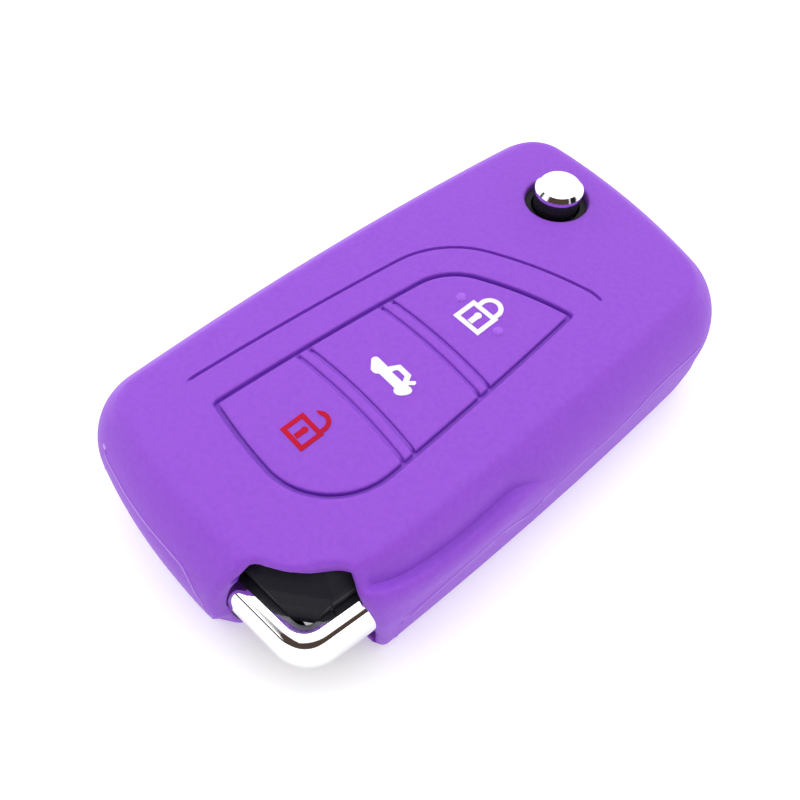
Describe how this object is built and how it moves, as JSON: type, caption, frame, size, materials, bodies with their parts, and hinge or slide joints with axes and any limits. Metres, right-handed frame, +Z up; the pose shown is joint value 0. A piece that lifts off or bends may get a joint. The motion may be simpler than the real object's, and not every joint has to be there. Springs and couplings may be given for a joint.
{
  "type": "folding car key in a silicone key fob cover",
  "caption": "Soft silicone cover on a folding car key, with panel buttons, a corner key ring bail, a release button and a blade that swings out.",
  "frame": {"origin": "middle of the cover's resting face", "axes": "+Y along the key towards the blade end, +X across it with the icons upright, +Z up out of the button face"},
  "size_m": [0.0444, 0.0793, 0.0198],
  "materials": {
    "silicone": "matte purple silicone",
    "white_print": "printed",
    "red_print": "printed",
    "case_plastic": "fine grain",
    "key_plastic": "smooth",
    "board": "solder mask",
    "switch_metal": "stamped",
    "cell_steel": "spun",
    "contact_brass": "stamped",
    "chip_plastic": "moulded",
    "crystal_can": "drawn",
    "hub_metal": "moulded",
    "blade_steel": "milled",
    "steel": "turned",
    "spring_steel": "drawn",
    "button_chrome": "satin plated",
    "bail_chrome": "mirror plated"
  },
  "bodies": {
    "cover": {"cover_shell": "silicone", "upper_case": "case_plastic", "lower_case": "case_plastic", "case_screw": "steel", "circuit_board": "board", "tact_switches": "switch_metal", "coin_cell": "cell_steel", "positive_contact": "contact_brass", "negative_contact": "contact_brass", "remote_chip": "chip_plastic", "crystal": "crystal_can", "transponder_chip": "chip_plastic", "pivot_pin": "steel", "torsion_spring": "spring_steel", "release_spring": "spring_steel", "key_ring_bail": "bail_chrome", "bail_pins": "steel"},
    "blade": {"blade_hub": "hub_metal", "key_blade": "blade_steel", "blade_pin": "steel"},
    "release": {"release_button": "button_chrome", "release_plunger": "case_plastic"},
    "lock_button": {"lock_pad": "silicone", "lock_icon": "white_print", "lock_key": "key_plastic", "lock_plunger": "case_plastic"},
    "trunk_button": {"trunk_pad": "silicone", "trunk_icon": "white_print", "trunk_key": "key_plastic", "trunk_plunger": "case_plastic"},
    "unlock_button": {"unlock_pad": "silicone", "unlock_icon": "red_print", "unlock_key": "key_plastic", "unlock_plunger": "case_plastic"}
  },
  "joints": [
    {"name": "blade_flip", "type": "hinge", "parent": "cover", "child": "blade", "pos_m": [-0.0048, 0.0265, 0.0063], "axis": [0, 0, -1], "range_deg": [0, 180]},
    {"name": "release_press", "type": "slide", "parent": "cover", "child": "release", "axis": [0, 0, -1], "range_m": [0, 0.0016], "stiffness_N_per_m": 1500, "deforming": ["release_spring"]},
    {"name": "lock_press", "type": "slide", "parent": "cover", "child": "lock_button", "axis": [0, 0, -1], "range_m": [0, 0.0005], "stiffness_N_per_m": 2000},
    {"name": "trunk_press", "type": "slide", "parent": "cover", "child": "trunk_button", "axis": [0, 0, -1], "range_m": [0, 0.0005], "stiffness_N_per_m": 2000},
    {"name": "unlock_press", "type": "slide", "parent": "cover", "child": "unlock_button", "axis": [0, 0, -1], "range_m": [0, 0.0005], "stiffness_N_per_m": 2000}
  ]
}
